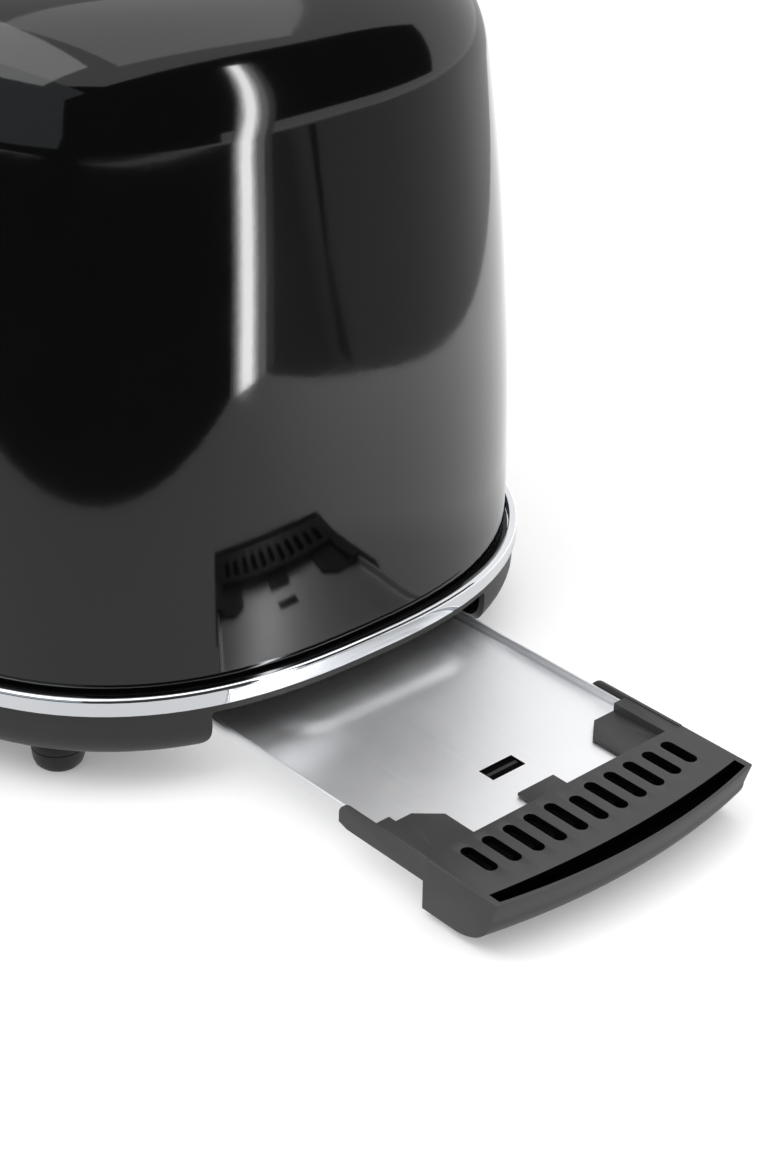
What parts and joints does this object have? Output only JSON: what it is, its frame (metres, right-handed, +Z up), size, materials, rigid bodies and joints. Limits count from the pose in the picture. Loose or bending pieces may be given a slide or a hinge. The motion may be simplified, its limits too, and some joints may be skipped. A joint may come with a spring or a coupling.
{
  "type": "pop up toaster",
  "caption": "Toaster with a rounded gloss shell on a trim ring, bread slots, spring lever, browning dial, buttons and a pull-out crumb tray with a vented handle.",
  "frame": {"origin": "on the surface the feet stand on, under the middle of the whole object with its crumb tray pulled out", "axes": "+X is the way the crumb tray pulls out, +Y is to the left as seen from behind the lever end looking along +X, +Z is up"},
  "size_m": [0.4178, 0.201, 0.2],
  "materials": {
    "black_gloss_paint": "high gloss, black",
    "polished_chrome": "mirror polished",
    "charcoal_plastic": "fine satin moulding, charcoal",
    "black_plastic": "matt black moulding",
    "foot_rubber": "matt black rubber",
    "brushed_tray": "fine brushed along the tray",
    "sheet_steel": "plain mill finish",
    "plated_wire": "bright plated wire",
    "mica_board": "pressed mica sheet",
    "nichrome": "dull resistance wire",
    "copper_winding": "enamelled copper wire",
    "circuit_board": "green lacquered board"
  },
  "bodies": {
    "housing": {"outer_shell": "black_gloss_paint", "chrome_ring": "polished_chrome", "top_panel": "polished_chrome", "base_skirt": "charcoal_plastic", "control_panel": "charcoal_plastic", "base_collar": "black_plastic", "terminal_block": "black_plastic", "switch_cancel": "black_plastic", "switch_reheat": "black_plastic", "switch_defrost": "black_plastic", "foot_front_left": "foot_rubber", "foot_front_right": "foot_rubber", "foot_rear_left": "foot_rubber", "foot_rear_right": "foot_rubber", "cord_gland": "foot_rubber", "bottom_plate": "sheet_steel", "chassis_plate_front": "sheet_steel", "chassis_plate_rear": "sheet_steel", "reflector_left": "sheet_steel", "reflector_right": "sheet_steel", "tray_rail_left": "sheet_steel", "tray_rail_right": "sheet_steel", "guide_rod": "sheet_steel", "return_spring": "sheet_steel", "magnet_core": "sheet_steel", "potentiometer": "sheet_steel", "chassis_screw_1": "sheet_steel", "chassis_screw_2": "sheet_steel", "chassis_screw_3": "sheet_steel", "chassis_screw_4": "sheet_steel", "base_screw_1": "sheet_steel", "base_screw_2": "sheet_steel", "base_screw_3": "sheet_steel", "base_screw_4": "sheet_steel", "element_board_left": "mica_board", "element_board_centre": "mica_board", "element_board_right": "mica_board", "winding_left_inner": "nichrome", "winding_left_outer": "nichrome", "winding_right_inner": "nichrome", "winding_right_outer": "nichrome", "magnet_coil": "copper_winding", "circuit_board": "circuit_board"},
    "crumb_tray": {"crumb_tray_pan": "brushed_tray", "crumb_tray_handle": "charcoal_plastic"},
    "lever_carriage": {"carriage_bracket": "sheet_steel", "bread_rack_left": "plated_wire", "bread_rack_right": "plated_wire", "armature_plate": "sheet_steel", "lever_arm": "sheet_steel", "lever_knob": "polished_chrome"},
    "guide_left_inner": {"bread_guide_left_inner": "plated_wire"},
    "guide_left_outer": {"bread_guide_left_outer": "plated_wire"},
    "guide_right_inner": {"bread_guide_right_inner": "plated_wire"},
    "guide_right_outer": {"bread_guide_right_outer": "plated_wire"},
    "browning_dial": {"browning_knob": "charcoal_plastic", "dial_shaft": "sheet_steel"},
    "cancel_button": {"button_cancel": "polished_chrome"},
    "reheat_button": {"button_reheat": "polished_chrome"},
    "defrost_button": {"button_defrost": "polished_chrome"}
  },
  "joints": [
    {"name": "crumb_tray_slide", "type": "slide", "parent": "housing", "child": "crumb_tray", "axis": [1, 0, 0], "range_m": [-0.097, 0.1]},
    {"name": "lever_slide", "type": "slide", "parent": "housing", "child": "lever_carriage", "axis": [0, 0, 1], "range_m": [-0.055, 0], "stiffness_N_per_m": 120, "springref_m": 0.03, "deforming": ["return_spring"]},
    {"name": "guide_hinge_left_inner", "type": "hinge", "parent": "housing", "child": "guide_left_inner", "pos_m": [-0.03946, 0.01, 0.052], "axis": [1, 0, 0], "range_deg": [-5, 0]},
    {"name": "guide_hinge_left_outer", "type": "hinge", "parent": "housing", "child": "guide_left_outer", "pos_m": [-0.03946, 0.044, 0.052], "axis": [1, 0, 0], "range_deg": [0, 5]},
    {"name": "guide_hinge_right_inner", "type": "hinge", "parent": "housing", "child": "guide_right_inner", "pos_m": [-0.03946, -0.01, 0.052], "axis": [1, 0, 0], "range_deg": [0, 5]},
    {"name": "guide_hinge_right_outer", "type": "hinge", "parent": "housing", "child": "guide_right_outer", "pos_m": [-0.03946, -0.044, 0.052], "axis": [1, 0, 0], "range_deg": [-5, 0]},
    {"name": "browning_turn", "type": "hinge", "parent": "housing", "child": "browning_dial", "pos_m": [-0.18896, 0, 0.068], "axis": [-1, 0, 0], "range_deg": [-135, 135]},
    {"name": "cancel_press", "type": "slide", "parent": "housing", "child": "cancel_button", "axis": [1, 0, 0], "range_m": [0, 0.002], "stiffness_N_per_m": 300, "springref_m": -0.002},
    {"name": "reheat_press", "type": "slide", "parent": "housing", "child": "reheat_button", "axis": [1, 0, 0], "range_m": [0, 0.002], "stiffness_N_per_m": 300, "springref_m": -0.002},
    {"name": "defrost_press", "type": "slide", "parent": "housing", "child": "defrost_button", "axis": [1, 0, 0], "range_m": [0, 0.002], "stiffness_N_per_m": 300, "springref_m": -0.002}
  ],
  "couplings": [
    {"joint": "guide_hinge_left_inner", "follows": "lever_slide", "rad_per_m": 1.58},
    {"joint": "guide_hinge_left_outer", "follows": "lever_slide", "rad_per_m": -1.58},
    {"joint": "guide_hinge_right_inner", "follows": "lever_slide", "rad_per_m": -1.58},
    {"joint": "guide_hinge_right_outer", "follows": "lever_slide", "rad_per_m": 1.58}
  ]
}
